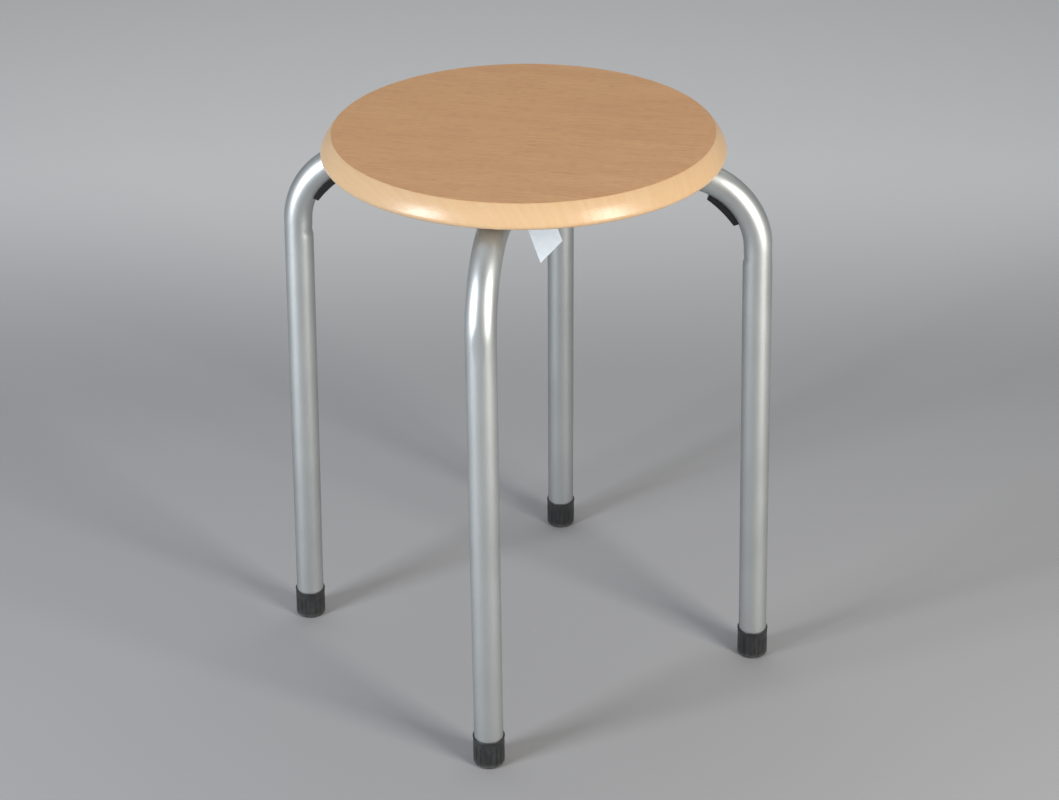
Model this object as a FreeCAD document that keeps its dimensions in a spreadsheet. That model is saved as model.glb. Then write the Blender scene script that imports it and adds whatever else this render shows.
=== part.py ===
import FreeCAD, Part
import collections
import os

import Sketcher

# Round stacking stool: a laminated seat on a frame of bent steel tube.
# Millimetres. +Z is up, the floor is z = 0 and the origin lies under the middle of the seat.

doc = FreeCAD.newDocument("stacking_stool")
sheet = doc.addObject("Spreadsheet::Sheet", "Sizes")

# Driving sizes: name, value in millimetres or degrees, what it measures
SIZES = [
    ("seat_height", 450.0, "floor to the top of the seat"),
    ("seat_diameter", 302.0, "over the widest part of the edge"),
    ("seat_thickness", 17.2, "whole seat, with its laminate and backing"),
    ("edge_width", 8.5, "the edge slopes out this far beyond the decor"),
    ("edge_face_round", 34.0, "radius of the edge's sloping face"),
    ("edge_nose_round", 3.5, "radius of the edge's nose, where it rolls under"),
    ("laminate_thickness", 0.6, "decor laminate on the top"),
    ("film_thickness", 0.3, "printed film round the edge"),
    ("film_glue", 0.15, "glue between the film and what it wraps"),
    ("backing_thickness", 0.6, "balancing sheet on the underside"),
    ("tube_diameter", 22.4, "outside of the painted frame tube"),
    ("tube_wall", 1.2, "wall of the frame tube"),
    ("bend_radius", 58.8, "centreline radius of the bends"),
    ("leg_azimuth", 45.0, "angle of the legs from the front and back"),
    ("long_reach", 175.5, "seat axis to the corner of the long tube's centreline"),
    ("long_splay", 1.75, "lean of the long tube's legs, outwards to the floor"),
    ("short_reach", 177.5, "seat axis to the corner of a short tube's centreline"),
    ("short_splay", 0.0, "lean of the short tubes' legs"),
    ("weld_leg", 2.5, "height of the weld beads"),
    ("weld_gap", 0.2, "fit-up gap between a coped end and the long tube"),
    ("weld_seat_gap", 0.3, "beads are ground down this far under the seat"),
    ("cap_diameter", 24.2, "outside of a foot cap"),
    ("cap_height", 25.0, "floor to the lip of a foot cap"),
    ("cap_sole", 5.0, "solid rubber under the end of the tube"),
    ("cap_clearance", 0.05, "between a tube and its cap, at the radius"),
    ("cap_edge_round", 3.0, "rounding of the cap's lower edge"),
    ("cap_trim", 0.4, "sole cut off to stand level on the floor"),
    ("lip_height", 1.0, "thin bead at the mouth of a cap"),
    ("lip_proud", 0.25, "the bead stands out this far"),
    ("plain_band", 4.5, "smooth band below the mouth"),
    ("flute_count", 18, "grooves round a cap"),
    ("flute_width", 1.5, "width of a groove"),
    ("flute_depth", 0.45, "depth of a groove"),
    ("pad_angle", 37.0, "stretch of the bend that a stacking pad covers"),
    ("pad_width", 12.5, "stacking pad across the tube"),
    ("pad_thickness", 2.0, "stacking pad over the tube, at its two ends"),
    ("pad_face_round", 90.0, "radius of the pad's face, hollow along the bend"),
    ("peg_diameter", 6.0, "snap peg of a stacking pad"),
    ("peg_length", 6.0, "reach of the peg from the tube's outer face"),
    ("peg_clearance", 0.1, "between a peg and its hole, at the radius"),
    ("screw_circle", 95.0, "seat axis to the seat screws"),
    ("screw_diameter", 4.8, "thread of a seat screw"),
    ("screw_length", 35.0, "under the head to the tip"),
    ("screw_point", 4.0, "tapered end of a screw"),
    ("head_diameter", 9.5, "pan head"),
    ("head_height", 2.8, "pan head"),
    ("head_flat", 5.6, "flat on top of the pan head"),
    ("recess_span", 4.6, "tip to tip of the cross recess"),
    ("recess_slot", 1.1, "width of the cross recess"),
    ("recess_depth", 1.6, "depth of the cross recess"),
    ("screw_clearance", 0.3, "between a screw and the tube's holes, at the radius"),
    ("pilot_clearance", 0.05, "between a screw and the seat's pilot hole, at the radius"),
    ("pilot_spare", 1.0, "pilot hole beyond the screw's tip"),
    ("tag_across", -42.8, "middle of the tag's fold from the seat axis, along X"),
    ("tag_along", -67.0, "middle of the tag's fold from the seat axis, along Y"),
    ("tag_turn", 19.9, "direction of the fold from X"),
    ("tag_width", 30.0, "width of the folded tag"),
    ("tag_length", 54.0, "longest edge of a leaf"),
    ("tag_paper", 0.35, "thickness of the card"),
    ("tag_tilt", 13.9, "front leaf from upright"),
    ("tag_gape", 1.5, "angle between the leaves"),
    ("tag_lean", 11.8, "front leaf hangs askew by this angle"),
    ("tag_fan", 2.5, "rear leaf hangs further askew"),
    ("tag_flap", 9.0, "flap under the seat that is stapled"),
    ("staple_crown", 10.0, "length of the staple's back, centre to centre of its legs"),
    ("staple_wire", 0.8, "thickness of the staple's wire"),
    ("staple_leg", 6.0, "depth of the staple's legs in the seat"),
    ("staple_clearance", 0.03, "round each leg of the staple"),
]

for row, (alias, value, note) in enumerate(SIZES, start=1):
    sheet.set(f"A{row}", alias)
    sheet.set(f"B{row}", str(value))
    sheet.set(f"C{row}", note)
    sheet.setAlias(f"B{row}", alias)
doc.recompute()

# Heights and radii that several pieces share
TUBE = "(Sizes.tube_diameter / 2)"
BORE = "(Sizes.tube_diameter / 2 - Sizes.tube_wall)"
SEAT_RADIUS = "(Sizes.seat_diameter / 2)"
UNDERSIDE = "(Sizes.seat_height - Sizes.seat_thickness)"
CROSS_HEIGHT = f"({UNDERSIDE} - {TUBE})"
SCREW_SEAT = f"({CROSS_HEIGHT} - {TUBE})"
SCREW_TIP = f"({SCREW_SEAT} + Sizes.screw_length)"

Leg = collections.namedtuple("Leg", "name azimuth reach splay")
LONG_LEGS = [
    Leg("front_right", "-Sizes.leg_azimuth", "Sizes.long_reach", "Sizes.long_splay"),
    Leg("rear_left", "180 - Sizes.leg_azimuth", "Sizes.long_reach", "Sizes.long_splay"),
]
SHORT_LEGS = [
    Leg("front_left", "180 + Sizes.leg_azimuth", "Sizes.short_reach", "Sizes.short_splay"),
    Leg("rear_right", "Sizes.leg_azimuth", "Sizes.short_reach", "Sizes.short_splay"),
]
LEGS = LONG_LEGS + SHORT_LEGS

reader = doc.addObject("App::FeaturePython", "reader")
reader.addProperty("App::PropertyFloat", "Reading")
pieces = []


# Helpers

def number(expression):
    """Value of an expression on the sheet's sizes."""
    reader.setExpression("Reading", expression)
    reader.recompute()
    return reader.Reading


def finish(thing, name):
    """Give a finished sub-part its name and put it on the list."""
    thing.Label = name
    pieces.append(thing)
    return thing


def new_body(name):
    """Empty PartDesign body."""
    body = doc.addObject("PartDesign::Body", name + "_body")
    body.Label = name
    return body


def plane_of(body, role):
    """Origin plane of a body, such as XY_Plane."""
    return next(item for item in body.Origin.OriginFeatures if item.Role == role)


def new_sketch(body, name, role, offset=None):
    """Sketch on an origin plane of its body, moved by an offset expression if one is given."""
    sketch = body.newObject("Sketcher::SketchObject", name)
    sketch.AttachmentSupport = [(plane_of(body, role), "")]
    sketch.MapMode = "FlatFace"
    if offset:
        sketch.setExpression("AttachmentOffset", offset)
    return sketch


def pin_down(sketch, geometry, point, expression, along):
    """Hold one coordinate of a point at an expression's value, or on the axis where it is 0."""
    if expression == "0":
        axis = -2 if along == "X" else -1
        sketch.addConstraint(Sketcher.Constraint("PointOnObject", geometry, point, axis))
        return
    value = number(expression)
    if value < 0:
        pair = (geometry, point, -1, 1)
        expression = f"-({expression})"
    else:
        pair = (-1, 1, geometry, point)
    index = sketch.addConstraint(Sketcher.Constraint("Distance" + along, *pair, abs(value)))
    sketch.setExpression(f"Constraints[{index}]", expression)


def draw_outline(sketch, corners, rounds=None):
    """Closed outline of lines and arcs.

    corners holds (x, y) expressions. rounds maps the number of a side to the radius of its arc
    and to 1 or -1, the side of the chord on which the arc's centre lies, 1 being its left.
    """
    rounds = rounds or {}
    points = [FreeCAD.Vector(number(x), number(y), 0) for x, y in corners]
    ends = []
    for side, start in enumerate(points):
        stop = points[(side + 1) % len(points)]
        if side not in rounds:
            sketch.addGeometry(Part.LineSegment(start, stop))
            ends.append((1, 2))
            continue
        radius, centre_side = rounds[side]
        chord = stop - start
        left = FreeCAD.Vector(-chord.y, chord.x, 0).normalize()
        rise = max(number(radius) ** 2 - (chord.Length / 2) ** 2, 0) ** 0.5
        centre = (start + stop) / 2 + left * (rise * centre_side)
        middle = centre - left * (number(radius) * centre_side)
        sketch.addGeometry(Part.ArcOfCircle(start, middle, stop))
        ends.append((1, 2) if centre_side > 0 else (2, 1))
    for side, (first, last) in enumerate(ends):
        follower = (side + 1) % len(ends)
        joint = Sketcher.Constraint("Coincident", side, last, follower, ends[follower][0])
        sketch.addConstraint(joint)
    for side, (x, y) in enumerate(corners):
        pin_down(sketch, side, ends[side][0], x, "X")
        pin_down(sketch, side, ends[side][0], y, "Y")
    for side, (radius, _) in rounds.items():
        index = sketch.addConstraint(Sketcher.Constraint("Radius", side, number(radius)))
        sketch.setExpression(f"Constraints[{index}]", radius)


def draw_circle(sketch, x, y, radius):
    """Circle at expressions x and y."""
    middle = FreeCAD.Vector(number(x), number(y), 0)
    circle = sketch.addGeometry(Part.Circle(middle, FreeCAD.Vector(0, 0, 1), number(radius)))
    pin_down(sketch, circle, 3, x, "X")
    pin_down(sketch, circle, 3, y, "Y")
    index = sketch.addConstraint(Sketcher.Constraint("Radius", circle, number(radius)))
    sketch.setExpression(f"Constraints[{index}]", radius)


def revolve(body, sketch, name):
    """Turn a sketch once round its vertical axis."""
    turned = body.newObject("PartDesign::Revolution", name)
    turned.Profile = sketch
    turned.ReferenceAxis = (sketch, ["V_Axis"])
    turned.Angle = 360
    return turned


def extrude(body, kind, sketch, name, length=None, backwards=False, both=False):
    """Pad or Pocket of a sketch, through everything when no length is given."""
    feature = body.newObject("PartDesign::" + kind, name)
    feature.Profile = sketch
    if length is None:
        feature.Type = "ThroughAll"
    else:
        feature.setExpression("Length", length)
    feature.Reversed = backwards
    feature.Midplane = both
    return feature


def place(thing, x, y, z, yaw="0", pitch="0"):
    """Placement by expressions: a point, then a turn about Z and a tilt about the turned Y."""
    thing.setExpression("Placement", f"placement(vector({x}; {y}; {z}); rotation({yaw}; {pitch}; 0))")


def place_on_leg(thing, leg, radius, height, pitch="0"):
    """Placement in the upright plane of a leg, at a distance from the seat axis."""
    x = f"({radius}) * cos({leg.azimuth})"
    y = f"({radius}) * sin({leg.azimuth})"
    place(thing, x, y, height, leg.azimuth, pitch)


def boolean(kind, name, base, tool):
    """Part::Cut, Part::Common or Part::Fuse of two objects."""
    result = doc.addObject("Part::" + kind, name)
    result.Base = base
    result.Tool = tool
    return result


# Seat: the board, the laminate on it, the film round its edge and the sheet under it

DECOR_RADIUS = f"({SEAT_RADIUS} - Sizes.edge_width)"
NOSE_RADIUS = f"({SEAT_RADIUS} - Sizes.edge_nose_round)"
NOSE_HEIGHT = f"({UNDERSIDE} + Sizes.edge_nose_round)"
BOARD_TOP = "(Sizes.seat_height - Sizes.laminate_thickness)"
BOARD_BOTTOM = f"({UNDERSIDE} + Sizes.backing_thickness)"
WRAP = "(Sizes.film_thickness + Sizes.film_glue)"

# The face's arc runs from the decor's edge to meet the nose's arc smoothly. ALONG and ASIDE lead
# from the decor's edge to the face's centre, along and square to the line to the nose's centre.
RUN = "(Sizes.edge_width - Sizes.edge_nose_round)"
DROP = "(Sizes.seat_thickness - Sizes.edge_nose_round)"
SPAN = f"sqrt({RUN} ^ 2 + {DROP} ^ 2)"
BETWEEN = "(Sizes.edge_face_round - Sizes.edge_nose_round)"
ALONG = f"((Sizes.edge_face_round ^ 2 - {BETWEEN} ^ 2 + {SPAN} ^ 2) / (2 * {SPAN}))"
ASIDE = f"sqrt(Sizes.edge_face_round ^ 2 - {ALONG} ^ 2)"
FACE_RADIUS = f"({DECOR_RADIUS} + ({ALONG} * {RUN} - {ASIDE} * {DROP}) / {SPAN})"
FACE_HEIGHT = f"(Sizes.seat_height - ({ALONG} * {DROP} + {ASIDE} * {RUN}) / {SPAN})"


def on_face(depth):
    """Point under the decor's edge, at a depth below the edge's sloping face."""
    share = f"(1 - ({depth}) / Sizes.edge_face_round)"
    x = f"({FACE_RADIUS} + ({DECOR_RADIUS} - {FACE_RADIUS}) * {share})"
    y = f"({FACE_HEIGHT} + (Sizes.seat_height - {FACE_HEIGHT}) * {share})"
    return x, y


def at_meeting(depth):
    """Point where the face meets the nose, at a depth below the edge's surface."""
    share = f"((Sizes.edge_face_round - ({depth})) / {BETWEEN})"
    x = f"({FACE_RADIUS} + ({NOSE_RADIUS} - {FACE_RADIUS}) * {share})"
    y = f"({FACE_HEIGHT} + ({NOSE_HEIGHT} - {FACE_HEIGHT}) * {share})"
    return x, y


FACE_IN_BOARD = f"(Sizes.edge_face_round - {WRAP})"
NOSE_IN_BOARD = f"(Sizes.edge_nose_round - {WRAP})"
BOARD_TOP_RADIUS = f"({FACE_RADIUS} + sqrt({FACE_IN_BOARD} ^ 2 - ({BOARD_TOP} - {FACE_HEIGHT}) ^ 2))"
BOARD_BOTTOM_RADIUS = f"({NOSE_RADIUS} + sqrt({NOSE_IN_BOARD} ^ 2 - ({NOSE_HEIGHT} - {BOARD_BOTTOM}) ^ 2))"


def screw_places():
    """Middles of the seat screws, one over each leg's crosspiece, as expressions."""
    for leg in LEGS:
        x = f"Sizes.screw_circle * cos({leg.azimuth})"
        y = f"Sizes.screw_circle * sin({leg.azimuth})"
        yield x, y


def staple_places():
    """Middles of the staple's two legs, as expressions."""
    for end in ("-", "+"):
        shift = f"({end}Sizes.staple_crown / 2)"
        back = "(Sizes.tag_flap / 2)"
        x = f"Sizes.tag_across + {shift} * cos(Sizes.tag_turn) + {back} * sin(Sizes.tag_turn)"
        y = f"Sizes.tag_along + {shift} * sin(Sizes.tag_turn) - {back} * cos(Sizes.tag_turn)"
        yield x, y


def drill_seat(body, screws_to, staples_to):
    """Pilot holes from the underside, for the screws and for the staple."""
    floor = f"placement(vector(0; 0; {UNDERSIDE}); rotation(0; 0; 0))"
    pilots = new_sketch(body, body.Label + "_pilots", "XY_Plane", floor)
    for x, y in screw_places():
        draw_circle(pilots, x, y, "Sizes.screw_diameter / 2 + Sizes.pilot_clearance")
    extrude(body, "Pocket", pilots, body.Label + "_pilot_holes", screws_to, backwards=True)
    pricks = new_sketch(body, body.Label + "_pricks", "XY_Plane", floor)
    for x, y in staple_places():
        draw_circle(pricks, x, y, "Sizes.staple_wire / 2 + Sizes.staple_clearance")
    extrude(body, "Pocket", pricks, body.Label + "_staple_holes", staples_to, backwards=True)


def make_seat_core():
    """Board, turned to its rounded edge and drilled from below."""
    body = new_body("seat_core")
    sketch = new_sketch(body, "core_outline", "XZ_Plane")
    corners = [
        ("0", BOARD_BOTTOM),
        (BOARD_BOTTOM_RADIUS, BOARD_BOTTOM),
        at_meeting(WRAP),
        (BOARD_TOP_RADIUS, BOARD_TOP),
        ("0", BOARD_TOP),
    ]
    rounds = {1: (NOSE_IN_BOARD, 1), 2: (FACE_IN_BOARD, 1)}
    draw_outline(sketch, corners, rounds)
    revolve(body, sketch, "core_turned")
    drill_seat(body, f"{SCREW_TIP} + Sizes.pilot_spare - {UNDERSIDE}", "Sizes.staple_leg")
    return finish(body, "seat_core")


def make_top_laminate():
    """Decor laminate, its lower edge routed away under the film."""
    body = new_body("seat_top_laminate")
    sketch = new_sketch(body, "laminate_outline", "XZ_Plane")
    corners = [
        ("0", BOARD_TOP),
        (BOARD_TOP_RADIUS, BOARD_TOP),
        on_face(WRAP),
        (DECOR_RADIUS, "Sizes.seat_height"),
        ("0", "Sizes.seat_height"),
    ]
    draw_outline(sketch, corners, {1: (FACE_IN_BOARD, 1)})
    revolve(body, sketch, "laminate_disc")
    return finish(body, "seat_top_laminate")


def make_edge_film():
    """Printed film, wrapped from the laminate's edge down and under the seat."""
    body = new_body("seat_edge_film")
    sketch = new_sketch(body, "film_outline", "XZ_Plane")
    corners = [
        (NOSE_RADIUS, UNDERSIDE),
        at_meeting("0"),
        (DECOR_RADIUS, "Sizes.seat_height"),
        on_face("Sizes.film_thickness"),
        at_meeting("Sizes.film_thickness"),
        (NOSE_RADIUS, f"{UNDERSIDE} + Sizes.film_thickness"),
    ]
    rounds = {
        0: ("Sizes.edge_nose_round", 1),
        1: ("Sizes.edge_face_round", 1),
        3: ("Sizes.edge_face_round - Sizes.film_thickness", -1),
        4: ("Sizes.edge_nose_round - Sizes.film_thickness", -1),
    }
    draw_outline(sketch, corners, rounds)
    revolve(body, sketch, "film_wrapped")
    return finish(body, "seat_edge_film")


def make_backing_sheet():
    """Balancing sheet on the underside, drilled with the board."""
    body = new_body("seat_backing_sheet")
    sketch = new_sketch(body, "backing_outline", "XZ_Plane")
    corners = [
        ("0", UNDERSIDE),
        (NOSE_RADIUS, UNDERSIDE),
        (NOSE_RADIUS, f"{UNDERSIDE} + {WRAP}"),
        (BOARD_BOTTOM_RADIUS, BOARD_BOTTOM),
        ("0", BOARD_BOTTOM),
    ]
    draw_outline(sketch, corners, {2: (NOSE_IN_BOARD, 1)})
    revolve(body, sketch, "backing_disc")
    drill_seat(body, "Sizes.backing_thickness", "Sizes.backing_thickness")
    return finish(body, "seat_backing_sheet")


# Frame: one long tube bent at both ends, two short tubes coped and welded to its middle

def corner_run(leg):
    """Distance from the corner of the centreline to each end of the bend."""
    return f"(Sizes.bend_radius * tan((90 - {leg.splay}) / 2))"


def bend_middle(leg):
    """Angle of the middle of the bend above the level, seen from the bend's centre."""
    return f"((90 + {leg.splay}) / 2)"


def foot_radius(leg):
    """Distance from the seat axis to the leg's centreline at the floor."""
    return f"({leg.reach} + {CROSS_HEIGHT} * tan({leg.splay}))"


def sweep_half(body, leg, label):
    """Half of a frame tube, from the seat axis along +X, round the bend and down to the foot."""
    run = corner_run(leg)
    down = f"({CROSS_HEIGHT} / cos({leg.splay}) - Sizes.cap_sole)"
    route = new_sketch(body, label + "_route", "XZ_Plane")
    places = [
        ("0", CROSS_HEIGHT),
        (f"{leg.reach} - {run}", CROSS_HEIGHT),
        (f"{leg.reach} + {run} * sin({leg.splay})", f"{CROSS_HEIGHT} - {run} * cos({leg.splay})"),
        (f"{leg.reach} + {down} * sin({leg.splay})", f"{CROSS_HEIGHT} - {down} * cos({leg.splay})"),
    ]
    start, bend, straight, end = [FreeCAD.Vector(number(x), number(y), 0) for x, y in places]
    centre = bend - FreeCAD.Vector(0, number("Sizes.bend_radius"), 0)
    half_turn = (bend + straight) / 2 - centre
    middle = centre + half_turn.normalize() * number("Sizes.bend_radius")
    route.addGeometry(Part.LineSegment(start, bend))
    route.addGeometry(Part.ArcOfCircle(bend, middle, straight))
    route.addGeometry(Part.LineSegment(straight, end))
    route.addConstraint(Sketcher.Constraint("Coincident", 0, 2, 1, 2))
    route.addConstraint(Sketcher.Constraint("Coincident", 1, 1, 2, 1))
    for geometry, point, (x, y) in zip((0, 1, 1, 2), (1, 2, 1, 2), places):
        pin_down(route, geometry, point, x, "X")
        pin_down(route, geometry, point, y, "Y")
    radius = route.addConstraint(Sketcher.Constraint("Radius", 1, number("Sizes.bend_radius")))
    route.setExpression(f"Constraints[{radius}]", "Sizes.bend_radius")
    section = new_sketch(body, label + "_section", "YZ_Plane")
    draw_circle(section, "0", CROSS_HEIGHT, TUBE)
    draw_circle(section, "0", CROSS_HEIGHT, BORE)
    doc.recompute()
    pipe = body.newObject("PartDesign::AdditivePipe", label + "_bent")
    pipe.Profile = section
    pipe.Spine = (route, ["Edge1", "Edge2", "Edge3"])
    return pipe


def drill_tube(body, leg, label):
    """Screw hole through both walls, and the peg hole in the inner wall of the bend."""
    upright = new_sketch(body, label + "_screw_place", "XY_Plane")
    draw_circle(upright, "Sizes.screw_circle", "0", "Sizes.screw_diameter / 2 + Sizes.screw_clearance")
    screw_hole = extrude(body, "Pocket", upright, label + "_screw_hole", UNDERSIDE, backwards=True)
    centre = f"vector(0; {CROSS_HEIGHT} - Sizes.bend_radius; {leg.reach} - {corner_run(leg)})"
    tilt = f"rotation(vector(1; 0; 0); -{bend_middle(leg)})"
    slanted = new_sketch(body, label + "_peg_place", "YZ_Plane", f"placement({centre}; {tilt})")
    draw_circle(slanted, "0", "0", "Sizes.peg_diameter / 2 + Sizes.peg_clearance")
    peg_hole = extrude(body, "Pocket", slanted, label + "_peg_hole", "Sizes.bend_radius", backwards=True)
    return [screw_hole, peg_hole]


def make_long_tube():
    """Long tube: leg, crosspiece and leg in one."""
    leg = LONG_LEGS[0]
    body = new_body("long_leg_tube")
    pipe = sweep_half(body, leg, "long")
    holes = drill_tube(body, leg, "long")
    doc.recompute()
    mirrored = body.newObject("PartDesign::Mirrored", "long_both_ends")
    mirrored.Originals = [pipe] + holes
    mirrored.MirrorPlane = (plane_of(body, "YZ_Plane"), [""])
    mirrored.Refine = False
    body.Tip = mirrored
    place_on_leg(body, leg, "0", "0")
    return finish(body, "long_leg_tube")


def make_short_tube(leg):
    """Short tube: one leg and half a crosspiece, coped to fit the long tube."""
    label = "short_" + leg.name
    body = new_body("short_leg_tube_" + leg.name)
    sweep_half(body, leg, label)
    drill_tube(body, leg, label)
    cope = new_sketch(body, label + "_cope_outline", "XZ_Plane")
    draw_circle(cope, "0", CROSS_HEIGHT, f"{TUBE} + Sizes.weld_gap")
    extrude(body, "Pocket", cope, label + "_cope", both=True)
    place_on_leg(body, leg, "0", "0")
    return finish(body, "short_leg_tube_" + leg.name)


def level_rod(name, leg, radius, length, start, across):
    """Level cylinder at the height of the crosspieces, along the leg's direction or across it."""
    rod = doc.addObject("Part::Cylinder", name)
    rod.setExpression("Radius", radius)
    rod.setExpression("Height", length)
    yaw = f"({leg.azimuth} + 90)" if across else f"({leg.azimuth})"
    x = f"({start}) * cos({yaw})"
    y = f"({start}) * sin({yaw})"
    place(rod, x, y, CROSS_HEIGHT, yaw, "90")
    return rod


def make_weld_bead(leg):
    """Bead round a coped end: what two fatter rods share, less the two tubes and the top."""
    fat = f"({TUBE} + Sizes.weld_leg)"
    along = level_rod(leg.name + "_bead_along", leg, fat, fat, "0", across=False)
    across = level_rod(leg.name + "_bead_across", leg, fat, f"2 * {fat}", f"-{fat}", across=True)
    shared = boolean("Common", leg.name + "_bead_blank", along, across)
    short = level_rod(leg.name + "_short_rod", leg, TUBE, f"2 * {fat}", "0", across=False)
    long = level_rod(leg.name + "_long_rod", leg, TUBE, f"4 * {fat}", f"-2 * {fat}", across=True)
    rods = boolean("Fuse", leg.name + "_bead_rods", short, long)
    ring = boolean("Cut", leg.name + "_bead_ring", shared, rods)
    grinder = doc.addObject("Part::Box", leg.name + "_grinder")
    for side in ("Length", "Width", "Height"):
        grinder.setExpression(side, f"4 * {fat}")
    place(grinder, f"-2 * {fat}", f"-2 * {fat}", f"{UNDERSIDE} - Sizes.weld_seat_gap")
    return finish(boolean("Cut", leg.name + "_bead", ring, grinder), "weld_bead_" + leg.name)


# Foot caps: fluted sleeves over the ends of the legs

def make_foot_cap(leg):
    """Cap: sleeve, sole and flutes about the leg's axis, then trimmed level with the floor."""
    label = leg.name + "_cap"
    body = new_body(label)
    sketch = new_sketch(body, label + "_outline", "XZ_Plane")
    outside = "(Sizes.cap_diameter / 2)"
    inside = f"({TUBE} + Sizes.cap_clearance)"
    lip = f"({outside} + Sizes.lip_proud)"
    under_lip = "(Sizes.cap_height - Sizes.lip_height)"
    corners = [
        ("0", "-Sizes.cap_trim"),
        (f"{outside} - Sizes.cap_edge_round", "-Sizes.cap_trim"),
        (outside, "Sizes.cap_edge_round - Sizes.cap_trim"),
        (outside, f"{under_lip} - Sizes.lip_proud"),
        (lip, under_lip),
        (lip, "Sizes.cap_height"),
        (inside, "Sizes.cap_height"),
        (inside, "Sizes.cap_sole"),
        ("0", "Sizes.cap_sole"),
    ]
    draw_outline(sketch, corners, {1: ("Sizes.cap_edge_round", 1)})
    revolve(body, sketch, label + "_sleeve")
    flute = new_sketch(body, label + "_flute_outline", "XY_Plane",
                       "placement(vector(0; 0; -Sizes.cap_trim); rotation(0; 0; 0))")
    near = f"({outside} - Sizes.flute_depth)"
    far = f"({outside} + Sizes.flute_depth)"
    half = "(Sizes.flute_width / 2)"
    groove = [(near, f"-{half} / 2"), (far, f"-{half}"), (far, half), (near, f"{half} / 2")]
    draw_outline(flute, groove)
    reach = f"Sizes.cap_trim + {under_lip} - Sizes.plain_band"
    cut = extrude(body, "Pocket", flute, label + "_flute", reach, backwards=True)
    doc.recompute()
    flutes = body.newObject("PartDesign::PolarPattern", label + "_flutes")
    flutes.Originals = [cut]
    flutes.Axis = (sketch, ["V_Axis"])
    flutes.Angle = 360
    flutes.setExpression("Occurrences", "Sizes.flute_count")
    body.Tip = flutes
    place_on_leg(body, leg, foot_radius(leg), "0", f"-({leg.splay})")
    floor = doc.addObject("Part::Box", label + "_floor")
    floor.setExpression("Length", "2 * Sizes.cap_diameter")
    floor.setExpression("Width", "2 * Sizes.cap_diameter")
    floor.setExpression("Height", "2 * Sizes.cap_diameter")
    place(floor,
          f"{foot_radius(leg)} * cos({leg.azimuth}) - Sizes.cap_diameter",
          f"{foot_radius(leg)} * sin({leg.azimuth}) - Sizes.cap_diameter",
          "-2 * Sizes.cap_diameter")
    return finish(boolean("Cut", label + "_level", body, floor), "foot_cap_" + leg.name)


# Stacking pads: saddles on the inner side of the bends, with a shallow hollow face and a peg

def make_stacking_pad(leg):
    """Block turned about the bend's centre to fit the tube, its face cut less hollow, with its peg."""
    label = leg.name + "_pad"
    body = new_body(label)
    saddle = new_sketch(body, label + "_section", "XY_Plane")
    half = "(Sizes.pad_width / 2)"
    seat = f"Sizes.bend_radius - sqrt({TUBE} ^ 2 - {half} ^ 2)"
    end = f"(Sizes.bend_radius - {TUBE} - Sizes.pad_thickness)"
    chord = f"({end} * cos(Sizes.pad_angle / 2))"
    blank = f"({chord} - Sizes.pad_thickness)"
    corners = [(blank, f"-{half}"), (seat, f"-{half}"), (seat, half), (blank, half)]
    draw_outline(saddle, corners, {1: (TUBE, -1)})
    turned = revolve(body, saddle, label + "_saddle")
    turned.setExpression("Angle", "Sizes.pad_angle")
    turned.Midplane = True
    face = new_sketch(body, label + "_face", "XZ_Plane")
    rise = f"sqrt(Sizes.pad_face_round ^ 2 - ({end} * sin(Sizes.pad_angle / 2)) ^ 2)"
    draw_circle(face, f"{chord} - {rise}", "0", "Sizes.pad_face_round")
    extrude(body, "Pocket", face, label + "_hollow", both=True)
    root = f"(Sizes.bend_radius - {TUBE} - Sizes.pad_thickness / 2)"
    peg_place = new_sketch(body, label + "_peg_place", "YZ_Plane",
                           f"placement(vector(0; 0; {root}); rotation(0; 0; 0))")
    draw_circle(peg_place, "0", "0", "Sizes.peg_diameter / 2")
    reach = "Sizes.pad_thickness / 2 + Sizes.peg_length"
    extrude(body, "Pad", peg_place, label + "_peg", reach)
    radius = f"{leg.reach} - {corner_run(leg)}"
    place_on_leg(body, leg, radius, f"{CROSS_HEIGHT} - Sizes.bend_radius", f"-{bend_middle(leg)}")
    return finish(body, "stacking_pad_" + leg.name)


# Fasteners and the tag

def make_seat_screw(leg):
    """Pan-head screw, up through the crosspiece into the seat."""
    label = leg.name + "_screw"
    body = new_body(label)
    sketch = new_sketch(body, label + "_outline", "XZ_Plane")
    head = "(Sizes.head_diameter / 2)"
    shank = "(Sizes.screw_diameter / 2)"
    rim = "(-Sizes.head_height / 3)"
    corners = [
        ("0", "-Sizes.head_height"),
        ("Sizes.head_flat / 2", "-Sizes.head_height"),
        (head, rim),
        (head, "0"),
        (shank, "0"),
        (shank, "Sizes.screw_length - Sizes.screw_point"),
        ("0", "Sizes.screw_length"),
    ]
    draw_outline(sketch, corners)
    revolve(body, sketch, label + "_turned")
    recess = new_sketch(body, label + "_recess_outline", "XY_Plane",
                        "placement(vector(0; 0; -Sizes.head_height); rotation(0; 0; 0))")
    arm = "(Sizes.recess_span / 2)"
    slot = "(Sizes.recess_slot / 2)"
    cross = [
        (arm, f"-{slot}"), (arm, slot), (slot, slot), (slot, arm), (f"-{slot}", arm), (f"-{slot}", slot),
        (f"-{arm}", slot), (f"-{arm}", f"-{slot}"), (f"-{slot}", f"-{slot}"), (f"-{slot}", f"-{arm}"),
        (slot, f"-{arm}"), (slot, f"-{slot}"),
    ]
    draw_outline(recess, cross)
    extrude(body, "Pocket", recess, label + "_recess", "Sizes.recess_depth", backwards=True)
    place_on_leg(body, leg, "Sizes.screw_circle", SCREW_SEAT)
    return finish(body, "seat_screw_" + leg.name)


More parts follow.
